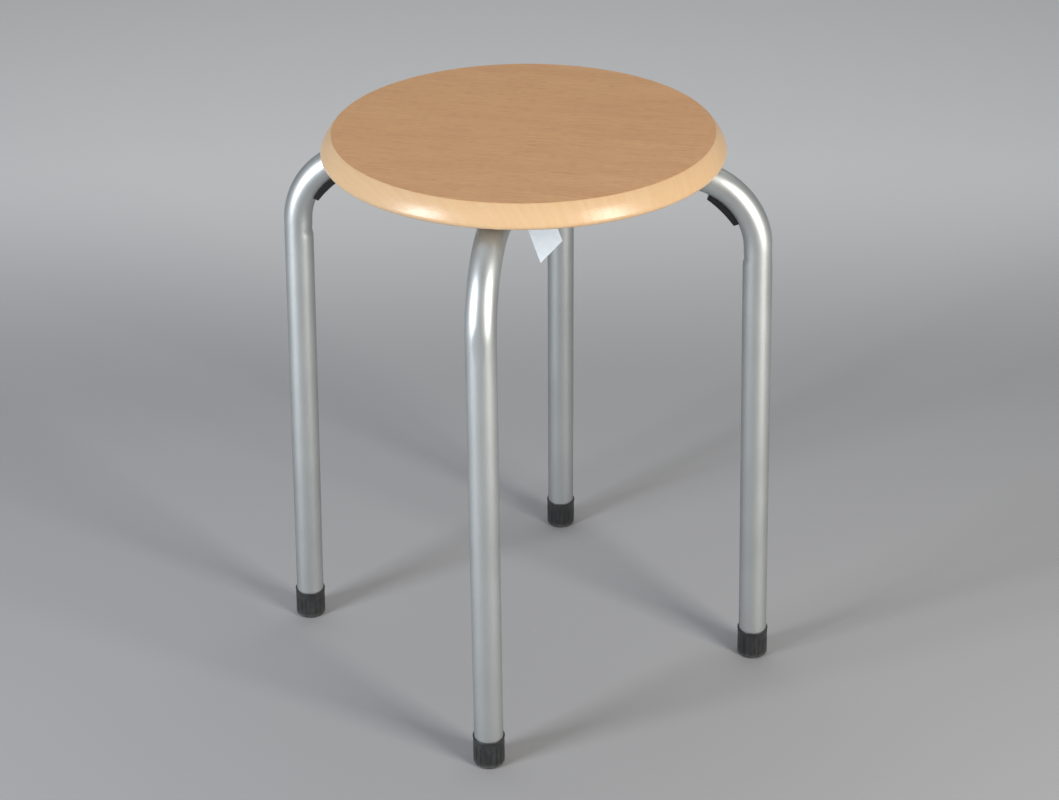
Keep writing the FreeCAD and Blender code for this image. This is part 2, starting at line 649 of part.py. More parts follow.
def tag_leaf(body, label, tilt, lean):
    """One leaf of the tag: a rectangle that hangs askew, cut level along the fold."""
    swing = f"placement(vector(0; 0; 0); rotation(vector(1; 0; 0); -{tilt}))"
    sketch = new_sketch(body, label + "_outline", "XZ_Plane", swing)
    half = f"(Sizes.tag_width / 2 / cos({lean}))"
    foot_x = f"(Sizes.tag_length * sin({lean}) - {half})"
    foot_y = f"(-Sizes.tag_length * cos({lean}))"
    corners = [
        (f"-{half}", "0"),
        (foot_x, foot_y),
        (f"{foot_x} + Sizes.tag_width * cos({lean})", f"{foot_y} + Sizes.tag_width * sin({lean})"),
        (half, "0"),
    ]
    draw_outline(sketch, corners)
    return extrude(body, "Pad", sketch, label, "Sizes.tag_paper", backwards=True)


def make_paper_tag():
    """Blank card tag: a flap under the seat and two leaves that hang from the fold."""
    body = new_body("paper_tag")
    flap = new_sketch(body, "tag_flap_outline", "XY_Plane",
                      "placement(vector(0; 0; -Sizes.tag_paper); rotation(0; 0; 0))")
    half = "(Sizes.tag_width / 2 / cos(Sizes.tag_lean))"
    fold = "Sizes.tag_paper"
    corners = [(f"-{half}", "-Sizes.tag_flap"), (half, "-Sizes.tag_flap"), (half, fold), (f"-{half}", fold)]
    draw_outline(flap, corners)
    extrude(body, "Pad", flap, "tag_flap_card", "Sizes.tag_paper")
    pricks = new_sketch(body, "tag_pricks", "XY_Plane")
    for end in ("-", ""):
        draw_circle(pricks, f"{end}Sizes.staple_crown / 2", "-Sizes.tag_flap / 2",
                    "Sizes.staple_wire / 2 + Sizes.staple_clearance")
    extrude(body, "Pocket", pricks, "tag_staple_holes", both=True)
    tag_leaf(body, "tag_front_leaf", "(Sizes.tag_tilt)", "Sizes.tag_lean")
    tag_leaf(body, "tag_rear_leaf", "(Sizes.tag_tilt - Sizes.tag_gape)", "(Sizes.tag_lean + Sizes.tag_fan)")
    place(body, "Sizes.tag_across", "Sizes.tag_along", UNDERSIDE, "Sizes.tag_turn")
    return finish(body, "paper_tag")


def make_tag_staple():
    """Wire staple: back under the tag's flap, legs up in the seat."""
    body = new_body("tag_staple")
    section = new_sketch(body, "staple_section", "XY_Plane",
                         "placement(vector(0; 0; -Sizes.tag_paper - Sizes.staple_wire); rotation(0; 0; 0))")
    half = "(Sizes.staple_crown / 2 + Sizes.staple_wire / 2)"
    middle = "-Sizes.tag_flap / 2"
    low = f"({middle} - Sizes.staple_wire / 2)"
    high = f"({middle} + Sizes.staple_wire / 2)"
    draw_outline(section, [(f"-{half}", low), (half, low), (half, high), (f"-{half}", high)])
    extrude(body, "Pad", section, "staple_back", "Sizes.staple_wire")
    root = "(-Sizes.tag_paper - Sizes.staple_wire / 2)"
    legs = new_sketch(body, "staple_legs_section", "XY_Plane",
                      f"placement(vector(0; 0; {root}); rotation(0; 0; 0))")
    for end in ("-", ""):
        draw_circle(legs, f"{end}Sizes.staple_crown / 2", middle, "Sizes.staple_wire / 2")
    reach = f"Sizes.staple_leg - Sizes.staple_clearance - {root}"
    extrude(body, "Pad", legs, "staple_legs", reach)
    place(body, "Sizes.tag_across", "Sizes.tag_along", UNDERSIDE, "Sizes.tag_turn")
    return finish(body, "tag_staple")


make_seat_core()
make_top_laminate()
make_edge_film()
make_backing_sheet()
make_long_tube()
for leg in SHORT_LEGS:
    make_short_tube(leg)
    make_weld_bead(leg)
for leg in LEGS:
    make_foot_cap(leg)
    make_stacking_pad(leg)
    make_seat_screw(leg)
make_paper_tag()
make_tag_staple()
doc.removeObject(reader.Name)
doc.recompute()

# Nothing is written unless every object is sound
for thing in doc.Objects:
    if {"Invalid", "Error"} & set(thing.State):
        raise RuntimeError(f"{thing.Label} failed: {thing.State}")
os.makedirs("parts", exist_ok=True)
for piece in pieces:
    if piece.Shape.isNull() or not piece.Shape.isValid() or not piece.Shape.Solids:
        raise RuntimeError(f"{piece.Label} has no sound solid")
    piece.Shape.exportStep(os.path.join("parts", piece.Label + ".step"))
    box = piece.Shape.optimalBoundingBox(False, False)
    print(f"{piece.Label}: {len(piece.Shape.Solids)} solid, {piece.Shape.Volume:.1f} mm3, "
          f"z {box.ZMin:.2f} to {box.ZMax:.2f}")
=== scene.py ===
"""Round stacking stool: the looks of every piece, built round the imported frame."""

import logging
import math
from collections.abc import Mapping, Sequence
from dataclasses import dataclass, replace
from enum import Enum

import bmesh
import bpy
from mathutils import Matrix, Vector


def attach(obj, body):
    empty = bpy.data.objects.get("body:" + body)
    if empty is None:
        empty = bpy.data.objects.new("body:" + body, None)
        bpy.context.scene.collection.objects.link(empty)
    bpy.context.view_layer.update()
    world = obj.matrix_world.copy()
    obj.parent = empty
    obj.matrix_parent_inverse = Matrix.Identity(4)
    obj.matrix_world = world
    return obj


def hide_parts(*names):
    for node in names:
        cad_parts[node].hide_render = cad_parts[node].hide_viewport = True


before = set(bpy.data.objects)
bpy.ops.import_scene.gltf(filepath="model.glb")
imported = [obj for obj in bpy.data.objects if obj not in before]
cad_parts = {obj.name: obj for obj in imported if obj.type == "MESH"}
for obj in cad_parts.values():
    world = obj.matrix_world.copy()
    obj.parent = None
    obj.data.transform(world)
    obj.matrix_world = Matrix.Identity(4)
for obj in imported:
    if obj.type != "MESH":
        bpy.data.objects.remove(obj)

MM = 0.001
BODY = "root"
PRINT_MAP = "unrolled"
SHARP_TURN = 35.0
log = logging.getLogger("stool")

Ring = list[Vector]
Point = tuple[float, float]
Colour = tuple[float, float, float, float]
Piece = bpy.types.Object
Tree = bpy.types.NodeTree
Node = bpy.types.Node
Socket = bpy.types.NodeSocket
Depths = tuple[tuple[str, float], ...]
Inputs = tuple[tuple[str, float | Colour], ...]


class Slot(Enum):
    """Material slots of the record."""

    DECOR = "decor_laminate"
    FILM = "edge_film"
    BOARD = "board"
    BACKING = "backing"
    TUBE = "silver_tube"
    WELD = "weld"
    CAP = "cap_rubber"
    PAD = "pad_plastic"
    SCREW = "screw_steel"
    CARD = "tag_card"
    STAPLE = "staple_steel"


def linear(code: str) -> Colour:
    """Turns a hex sRGB colour such as #C0A080 into linear RGBA."""
    values = [int(code[place:place + 2], 16) / 255 for place in (1, 3, 5)]
    return *(v / 12.92 if v <= 0.04045 else ((v + 0.055) / 1.055) ** 2.4 for v in values), 1.0


def ease(value: float, low: float, high: float) -> float:
    """Smooth step from 0 at low to 1 at high."""
    share = min(max((value - low) / (high - low), 0.0), 1.0)
    return share * share * (3 - 2 * share)


# Meshes

class Shell:
    """Mesh under construction, in millimetres."""

    def __init__(self) -> None:
        """Starts with nothing."""
        self.vertices: Ring = []
        self.faces: list[tuple[int, ...]] = []

    def loft(self, rings: Sequence[Ring], closed: bool = False, caps: bool = False) -> "Shell":
        """Joins rings of equal length with quads.

        Args:
            rings: Closed rings in order.
            closed: Whether the last ring also joins the first.
            caps: Whether a flat face closes each end.

        Returns:
            The shell itself.
        """
        start, count, total = len(self.vertices), len(rings[0]), len(rings)
        for ring in rings:
            self.vertices.extend(ring)
        for index in range(total if closed else total - 1):
            low = start + index * count
            high = start + (index + 1) % total * count
            for step in range(count):
                after = (step + 1) % count
                self.faces.append((low + step, low + after, high + after, high + step))
        if caps:
            last = start + (total - 1) * count
            self.faces.append(tuple(start + step for step in reversed(range(count))))
            self.faces.append(tuple(last + step for step in range(count)))
        return self

    def build(self, name: str, matrix: Matrix | None = None, sharp: float = SHARP_TURN,
              lowest: float | None = None) -> Piece:
        """Makes the object.

        Args:
            name: Name of the object and its mesh.
            matrix: Placement in millimetres, or none.
            sharp: Edges that turn by more than this many degrees stay sharp.
            lowest: Height in millimetres under which nothing reaches, or none.

        Returns:
            The new object, at the origin, in metres.
        """
        placed = [matrix @ vertex if matrix else vertex for vertex in self.vertices]
        if lowest is not None:
            placed = [Vector((v.x, v.y, max(v.z, lowest))) for v in placed]
        mesh = bpy.data.meshes.new(name)
        mesh.from_pydata([vertex * MM for vertex in placed], [], self.faces)
        sculpt = bmesh.new()
        sculpt.from_mesh(mesh)
        bmesh.ops.recalc_face_normals(sculpt, faces=sculpt.faces)
        sculpt.to_mesh(mesh)
        sculpt.free()
        mesh.shade_smooth()
        mesh.set_sharp_from_angle(angle=math.radians(sharp))
        made = bpy.data.objects.new(name, mesh)
        bpy.context.scene.collection.objects.link(made)
        return made


def turned(profile: Sequence[Point], segments: int) -> list[Ring]:
    """Rings of a profile of (radius, height) points turned about Z."""
    angles = [math.tau * step / segments for step in range(segments)]
    return [[Vector((radius * math.cos(angle), radius * math.sin(angle), height))
             for angle in angles] for radius, height in profile]


def arc(centre: Point, radius: float, start: float, stop: float, steps: int) -> list[Point]:
    """Points on an arc, both ends included, its angles in degrees."""
    angles = [math.radians(start + (stop - start) * step / steps) for step in range(steps + 1)]
    return [(centre[0] + radius * math.cos(angle), centre[1] + radius * math.sin(angle))
            for angle in angles]


def wire(path: Sequence[Vector], radii: Sequence[float], outward: Sequence[Vector],
         segments: int, closed: bool = False) -> list[Ring]:
    """Rings of a round wire.

    Args:
        path: Middle of the wire, point by point.
        radii: Radius at each point.
        outward: Direction at each point from which the ring is counted.
        segments: Points on a ring.
        closed: Whether the path runs back to its start.

    Returns:
        A ring for each point.
    """
    rings = []
    last = len(path) - 1
    for index, (middle, radius, lead) in enumerate(zip(path, radii, outward)):
        before = path[index - 1] if index or closed else path[0]
        after = path[(index + 1) % len(path)] if index < last or closed else path[last]
        tangent = (after - before).normalized()
        first = (lead - tangent * lead.dot(tangent)).normalized()
        second = tangent.cross(first)
        ring = []
        for step in range(segments):
            angle = math.tau * step / segments
            ring.append(middle + (first * math.cos(angle) + second * math.sin(angle)) * radius)
        rings.append(ring)
    return rings


def carve(body: Piece, cutter: Piece) -> None:
    """Takes the cutter's shape out of the body's mesh and deletes the cutter.

    Args:
        body: Object that is carved.
        cutter: Closed object that is taken out of it.
    """
    cut = body.modifiers.new("carved", "BOOLEAN")
    cut.operation, cut.object, cut.solver = "DIFFERENCE", cutter, "EXACT"
    bpy.context.view_layer.update()
    evaluated = body.evaluated_get(bpy.context.evaluated_depsgraph_get())
    mesh = bpy.data.meshes.new_from_object(evaluated)
    body.modifiers.clear()
    body.data = mesh
    mesh.set_sharp_from_angle(angle=math.radians(SHARP_TURN))
    bpy.data.objects.remove(cutter, do_unlink=True)


# Materials

def add_node(tree: Tree, kind: str, settings: Mapping | None = None,
             links: Mapping | None = None) -> Node:
    """Adds a node with its settings and links.

    Args:
        tree: Tree that takes the node.
        kind: Type of node, without the word ShaderNode.
        settings: Values by the name of a property, or by the name or number of an input.
        links: Output sockets by the name or number of the input that they feed.

    Returns:
        The new node.
    """
    node = tree.nodes.new("ShaderNode" + kind)
    for key, value in (settings or {}).items():
        if isinstance(key, str) and hasattr(node, key):
            setattr(node, key, value)
        else:
            node.inputs[key].default_value = value
    for key, socket in (links or {}).items():
        tree.links.new(socket, node.inputs[key])
    return node


@dataclass(frozen=True)
class Noise:
    """Soft blotches with values about 0.5, their sizes in real millimetres.

    Attributes:
        size: Size of a blotch along X, Y and Z.
        turn: Angle of the blotches' X from the object's X, in degrees.
        roughness: Strength of the finer blotches.
    """

    size: tuple[float, float, float]
    turn: float = 0.0
    detail: float = 2.0
    roughness: float = 0.5

    def draw(self, tree: Tree, place: Socket) -> Socket:
        """Draws the blotches.

        Args:
            tree: Tree of the material.
            place: Coordinates in metres.

        Returns:
            Their values.
        """
        settings = {"vector_type": "TEXTURE", "Rotation": (0, 0, math.radians(self.turn)),
                    "Scale": tuple(value * MM for value in self.size)}
        mapped = add_node(tree, "Mapping", settings, {"Vector": place})
        settings = {"Scale": 1.0, "Detail": self.detail, "Roughness": self.roughness}
        return add_node(tree, "TexNoise", settings, {"Vector": mapped.outputs[0]}).outputs[0]


@dataclass(frozen=True)
class Layer:
    """Colour that covers the one below where a noise is high.

    Attributes:
        low: Noise at which it begins.
        high: Noise at which it is full.
        most: Its share there.
        reach: Height in millimetres up to which it goes, or none.
    """

    noise: Noise
    colour: str
    low: float = 0.3
    high: float = 0.7
    most: float = 1.0
    reach: float | None = None

    def cover(self, tree: Tree, place: Socket, below: Colour | Socket) -> Socket:
        """Lays the colour over another.

        Args:
            tree: Tree of the material.
            place: Coordinates in metres.
            below: Colour that it covers.

        Returns:
            The two colours mixed.
        """
        band = {"From Min": self.low, "From Max": self.high, "To Max": self.most}
        values = {"Value": self.noise.draw(tree, place)}
        share = add_node(tree, "MapRange", band, values).outputs[0]
        if self.reach is not None:
            height = add_node(tree, "SeparateXYZ", links={0: place}).outputs[2]
            fall = {"From Min": self.reach * MM, "From Max": 0.0}
            near = add_node(tree, "MapRange", fall, {"Value": height}).outputs[0]
            product = add_node(tree, "Math", {"operation": "MULTIPLY"}, {0: near, 1: share})
            share = product.outputs[0]
        settings, links = {"data_type": "RGBA", 7: linear(self.colour)}, {0: share}
        (links if isinstance(below, Socket) else settings)[6] = below
        return add_node(tree, "Mix", settings, links).outputs[2]


MOTTLE = Noise((4.0, 4.0, 4.0), detail=3)
GRAIN = Noise((0.5, 0.5, 0.5), detail=1)


@dataclass(frozen=True)
class Finish:
    """One material, labelled with a slot of the record.

    Attributes:
        layers: Colours over the main one, from the lowest up.
        print_map: UV layer of the colours, or none for the object's own space.
        relief: Depth of the texture in millimetres, by the input that it feeds.
        sheen: Noise that varies the roughness, or none for the texture's.
        sheen_band: Its values between which the roughness changes.
        sheen_span: How far the roughness goes from its mean.
    """

    name: str
    slot: Slot | None
    colour: str
    roughness: float
    layers: tuple[Layer, ...] = ()
    metallic: float = 0.0
    print_map: str | None = None
    texture: Noise = GRAIN
    relief: Depths = (("Normal", 0.02),)
    sheen: Noise | None = None
    sheen_band: Point = (0.3, 0.7)
    sheen_span: Point = (-0.05, 0.05)
    inputs: Inputs = ()

    def material(self) -> bpy.types.Material:
        """Makes the material.

        Returns:
            The material with its detail.
        """
        made = bpy.data.materials.new(self.name)
        made.use_nodes = True
        tree = made.node_tree
        tree.nodes.clear()
        settings = {"Base Color": linear(self.colour), "Roughness": self.roughness,
                    "Metallic": self.metallic, **dict(self.inputs)}
        surface = add_node(tree, "BsdfPrincipled", settings)
        self.dress(tree, surface)
        add_node(tree, "OutputMaterial", links={"Surface": surface.outputs[0]})
        return made

    def dress(self, tree: Tree, surface: Node) -> None:
        """Adds the layers of colour, the relief and the changing sheen.

        Args:
            tree: Tree of the material.
            surface: Its shader.
        """
        own_place = add_node(tree, "TexCoord").outputs["Object"]
        place = own_place
        if self.print_map:
            place = add_node(tree, "UVMap", {"uv_map": self.print_map}).outputs[0]
        colour = linear(self.colour)
        for layer in self.layers:
            colour = layer.cover(tree, place, colour)
        if self.layers:
            tree.links.new(colour, surface.inputs["Base Color"])

        grain = self.texture.draw(tree, own_place)
        for name, depth in self.relief:
            settings = {"Strength": 1.0, "Distance": depth * MM}
            bump = add_node(tree, "Bump", settings, {"Height": grain})
            tree.links.new(bump.outputs[0], surface.inputs[name])
        if any(self.sheen_span):
            (low, high), (down, up) = self.sheen_band, self.sheen_span
            band = {"From Min": low, "From Max": high,
                    "To Min": self.roughness + down, "To Max": self.roughness + up}
            noise = self.sheen.draw(tree, own_place) if self.sheen else grain
            rough = add_node(tree, "MapRange", band, {"Value": noise})
            tree.links.new(rough.outputs[0], surface.inputs["Roughness"])


@dataclass(frozen=True)
class MetallicPaint(Finish):
    """Sprayed paint: metal flake that sparkles under a clear layer, with a faint orange peel."""

    texture: Noise = Noise((1.8, 1.8, 1.8), detail=1)
    relief: Depths = (("Normal", 0.012),)
    sheen: Noise | None = Noise((30.0, 30.0, 60.0))
    sheen_band: Point = (0.35, 0.65)
    sheen_span: Point = (-0.03, 0.04)
    inputs: Inputs = (
        ("Specular Tint", linear("#A8AAAA")), ("Coat Weight", 0.15), ("Coat Roughness", 0.22))


@dataclass(frozen=True)
class Moulded(Finish):
    """Moulded rubber or plastic: even, with a fine eroded texture from the mould."""

    texture: Noise = Noise((0.35, 0.35, 0.35))
    relief: Depths = (("Normal", 0.03),)
    sheen_span: Point = (-0.06, 0.06)


@dataclass(frozen=True)
class StudioPaper(Finish):
    """Matt seamless paper of the studio floor. Far behind the stool its colour grows paler:
    painted light that stands for the backdrop rising there and catching the softboxes.
    """

    # Painted light: this paler colour far behind the stool stands for the backdrop lit by the
    # softboxes.
    backdrop_light_colour: str = "#CCCDCE"
    turn: float = 54.99
    start: float = 0.38
    stop: float = 1.08

    def dress(self, tree: Tree, surface: Node) -> None:
        """Paints the paper paler behind the stool: painted light that stands for the lit backdrop
        there.

        Args:
            tree: Tree of the material.
            surface: Its shader.
        """
        place = add_node(tree, "TexCoord").outputs["Object"]
        settings = {"vector_type": "TEXTURE", "Rotation": (0, 0, math.radians(self.turn))}
        behind = add_node(tree, "Mapping", settings, {"Vector": place})
        split = add_node(tree, "SeparateXYZ", links={0: behind.outputs[0]})
        band = {"interpolation_type": "SMOOTHSTEP", "From Min": self.start, "From Max": self.stop}
        share = add_node(tree, "MapRange", band, {"Value": split.outputs[0]})
        # Mixes in the painted light of the lit backdrop, growing towards the far side.
        settings = {"data_type": "RGBA", 6: linear(self.colour), 7: linear(self.backdrop_light_colour)}
        tint = add_node(tree, "Mix", settings, {0: share.outputs[0]})
        tree.links.new(tint.outputs[2], surface.inputs["Base Color"])


# Pressed between plates: satin over a warm brown print, with broad bands, fine reddish lines and
# short pores. The plate's texture is drawn coarser than it is, so that it shows.
DECOR_TURN = -47.0
DECOR = Finish(
    "wood-decor high-pressure laminate, pressed satin", Slot.DECOR, "#C99C6C", 0.42,
    (Layer(Noise((160.0, 22.0, 50.0), DECOR_TURN, 1), "#C39465"),
     Layer(Noise((34.0, 1.0, 50.0), DECOR_TURN, 3, 0.7), "#B17C54", 0.46, 0.70, 0.8),
     Layer(Noise((9.0, 0.4, 50.0), DECOR_TURN, 1), "#97643C", 0.56, 0.74, 0.6)),
    texture=Noise((0.9, 0.5, 0.9), DECOR_TURN), relief=(("Normal", 0.012),),
    sheen_span=(-0.04, 0.06))

# Lacquered: glossy with orange peel, over pale beech with short oblique flecks.
FILM_TURN = -95.0
FILM = Finish(
    "beech-print film, lacquered", Slot.FILM, "#C7AA85", 0.42,
    (Layer(Noise((60.0, 4.0, 9.0), FILM_TURN), "#C09E76", most=0.5),
     Layer(Noise((12.0, 0.6, 9.0), FILM_TURN, 3, 0.7), "#C99763", 0.5, 0.74, 0.4),
     Layer(Noise((2.6, 0.5, 9.0), FILM_TURN, 1), "#C99763", 0.6, 0.74, 0.6)),
    print_map=PRINT_MAP, texture=Noise((1.1, 1.1, 1.1), detail=0),
    relief=(("Normal", 0.04), ("Coat Normal", 0.1)), sheen_span=(0.0, 0.0),
    inputs=(("Specular IOR Level", 0.2), ("Coat Weight", 0.65), ("Coat Roughness", 0.22)))

# Pressed wood fibres, sanded: dry and matt.
BOARD = Finish("raw fibreboard, sanded", Slot.BOARD, "#A98A62", 0.85,
               (Layer(MOTTLE, "#9C7D57"),))

# Paper soaked in brown resin: an even brown with a dull sheen.
BACKING = Finish("brown balancing paper, resin-soaked", Slot.BACKING, "#BE9D76", 0.60,
                 (Layer(MOTTLE, "#B2916B"),))

# Aluminium flake in clear paint: a soft metal sheen, sprayed a little unevenly. The flake is
# really under 0.05 mm. It is drawn coarser, to show as a faint sparkle.
FLAKE = Noise((0.28, 0.28, 0.28), detail=0)
SILVER = MetallicPaint("steel tube, silver metallic paint", Slot.TUBE, "#B8BDBD", 0.435,
                       (Layer(FLAKE, "#CACECE", 0.25, 0.75),), 0.88)
WELD = MetallicPaint("weld bead under silver paint", Slot.WELD, "#AEB3B3", 0.5,
                     (Layer(FLAKE, "#C0C4C4", 0.25, 0.75),), 0.80)

# Black and even, dulled by handling, with specks of dust low on the caps. The mould's texture is
# drawn coarser than it is, so that it shows.
SMEARS = Noise((6.0, 6.0, 9.0), detail=4, roughness=0.7)
SPECKS = Noise((0.7, 0.7, 0.7))
CAP = Moulded("moulded black rubber", Slot.CAP, "#202223", 0.46,
              (Layer(SMEARS, "#353837", 0.45, 0.75),
               Layer(SPECKS, "#7C7A76", 0.42, 0.62, 0.8, reach=5.0)))
PAD = Moulded("moulded black polypropylene", Slot.PAD, "#0F0F10", 0.28,
              (Layer(SMEARS, "#19191A", 0.45, 0.75),), texture=Noise((0.5, 0.5, 0.5)))

# Plated and drawn steel: bright and hard, with faint clouds.
ZINC = Finish("zinc-plated steel screw", Slot.SCREW, "#B9BBB8", 0.32,
              (Layer(MOTTLE, "#A8ABA8"),), 1.0)
STEEL = Finish("bright steel wire", Slot.STAPLE, "#C6C8C8", 0.25,
               (Layer(MOTTLE, "#B2B5B6"),), 1.0)

# Coated with white clay: cool white with a slight sheen.
CARD = Finish("coated white card", Slot.CARD, "#CAD6E3", 0.4, (Layer(MOTTLE, "#C2D0DD"),))


def show(piece: Piece, node: str, finish: Finish) -> Piece:
    """Gives a piece its finish, hides the CAD node that it takes the place of and logs it.

    Args:
        piece: Finished object in the row frame.
        node: CAD node that the piece stands for.
        finish: Its material.

    Returns:
        The piece.
    """
    made = bpy.data.materials.get(finish.name) or finish.material()
    piece.data.materials.clear()
    piece.data.materials.append(made)
    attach(piece, BODY)
    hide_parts(node)
    log.info("%s: %d vertices, %s", piece.name, len(piece.data.vertices), finish.name)
    return piece


# Seat

@dataclass(frozen=True)
class Seat:
    """Round seat: decor laminate, rolled film edge, board and backing, in millimetres."""

    top: float = 450.0
    radius: float = 151.0
    thickness: float = 17.2
    edge_width: float = 8.5
    face_round: float = 34.0
    nose_round: float = 3.5
    laminate: float = 0.6
    film: float = 0.3
    backing: float = 0.6
    seam: float = 0.14
    undercut: float = 0.5
    gap: float = 0.05
    decor_arris: float = 0.12
    film_drop: float = 0.10
    backing_arris: float = 0.08
    face_steps: int = 18
    nose_steps: int = 14
    segments: int = 288

    @property
    def underside(self) -> float:
        """Height of the seat's lower face."""
        return self.top - self.thickness

    @property
    def decor_radius(self) -> float:
        """Radius at which the decor ends and the film begins."""
        return self.radius - self.edge_width

    def outline(self, depth: float) -> list[Point]:
        """Edge at a depth under its surface: down the sloping face and round the nose.

        Args:
            depth: How far under the surface, in millimetres.

        Returns:
            Points of (radius, height) from the decor to the underside.
        """
        start = Vector((self.decor_radius, self.top))
        nose = Vector((self.radius - self.nose_round, self.underside + self.nose_round))
        span = nose - start
        length = span.length
        direction = span / length
        square = Vector((direction.y, -direction.x))
        between = self.face_round - self.nose_round
        along = (self.face_round ** 2 - between ** 2 + length ** 2) / (2 * length)
        aside = math.sqrt(self.face_round ** 2 - along ** 2)
        centre = start + direction * along + square * aside
        first = math.degrees(math.atan2(start.y - centre.y, start.x - centre.x))
        meet = math.degrees(math.atan2(nose.y - centre.y, nose.x - centre.x))
        face = arc(tuple(centre), self.face_round - depth, first, meet, self.face_steps)
        turn = arc(tuple(nose), self.nose_round - depth, meet, -90.0, self.nose_steps)
        return face + turn[1:]

    def build(self) -> None:
        """Makes the laminate, the film and the backing, and finishes the board."""
        lip = self.decor_radius - self.seam
        under = self.top - self.laminate
        disc = [(lip - self.undercut, under), (lip, under + self.gap),
                (lip, self.top - self.decor_arris), (lip - self.decor_arris, self.top)]
        top = Shell().loft(turned(disc, self.segments), caps=True)
        show(top.build("decor_laminate_top"), "seat_top_laminate", DECOR)

        outside = self.outline(0.0)
        inside = self.outline(self.film)
        outside[0] = (outside[0][0] + self.gap, outside[0][1] - self.film_drop)
        band = Shell().loft(turned(outside + inside[::-1], self.segments), closed=True)
        rolled = show(band.build("rolled_edge_film", sharp=50), "seat_edge_film", FILM)
        self.unroll(rolled.data, outside, inside)

        rim = self.radius - self.nose_round - self.gap
        sheet = [(rim - self.backing_arris, self.underside),
                 (rim, self.underside + self.backing_arris), (rim, self.underside + self.backing)]
        lower = Shell().loft(turned(sheet, self.segments), caps=True)
        show(lower.build("balancing_sheet"), "seat_backing_sheet", BACKING)

        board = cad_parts["seat_core"]
        board.data.materials.clear()
        board.data.materials.append(BOARD.material())

    def unroll(self, mesh: bpy.types.Mesh, outside: Sequence[Point],
               inside: Sequence[Point]) -> None:
        """Lays the film flat for its print, so that the grain runs on down the edge.

        Args:
            mesh: Mesh of the film, ring after ring.
            outside: Its outer outline.
            inside: Its inner outline.
        """
        lengths = [self.decor_radius]
        for before, after in zip(outside, outside[1:]):
            lengths.append(lengths[-1] + math.dist(before, after))
        spread = lengths + lengths[:len(inside)][::-1]
        layer = mesh.uv_layers.new(name=PRINT_MAP)
        for loop in mesh.loops:
            place = mesh.vertices[loop.vertex_index].co
            reach = spread[loop.vertex_index // self.segments] * MM / math.hypot(place.x, place.y)
            layer.data[loop.index].uv = (place.x * reach, place.y * reach)


# Frame

class Kind(Enum):
    """The two kinds of frame tube."""

    LONG = "leg, crosspiece and leg"
    SHORT = "leg and half a crosspiece"


@dataclass(frozen=True)
class Station:
    """One cross-section of a bent tube, in the upright plane of its leg.

    Attributes:
        along: Distance from the seat axis.
        outward: Unit vector towards the outer side of the bend.
        flat: How far the outer wall is pressed in.
        dent: How far the inner wall is.
        rest: Share of its roundness that a pressed outer wall keeps.
    """

    along: float
    height: float
    outward: Point
    flat: float = 0.0
    dent: float = 0.0
    rest: float = 0.5

    def mirrored(self) -> "Station":
        """Same cross-section on the other side of the seat axis."""
        return replace(self, along=-self.along, outward=(-self.outward[0], self.outward[1]))

    def ring(self, radius: float, segments: int) -> Ring:
        """Points round the section.

        Args:
            radius: Radius of the wall that is asked for.
            segments: Points on the ring.

        Returns:
            The ring, with X away from the seat axis and Y across the leg's plane.
        """
        points = []
        level = radius - self.flat
        for step in range(segments):
            angle = math.tau * step / segments
            out, side = radius * math.cos(angle), radius * math.sin(angle)
            if out > level:
                out = level + (out - level) * self.rest
            if out < 0:
                out += self.dent * (out / radius) ** 2
            points.append(Vector((self.along + self.outward[0] * out, side,
                                  self.height + self.outward[1] * out)))
        return points


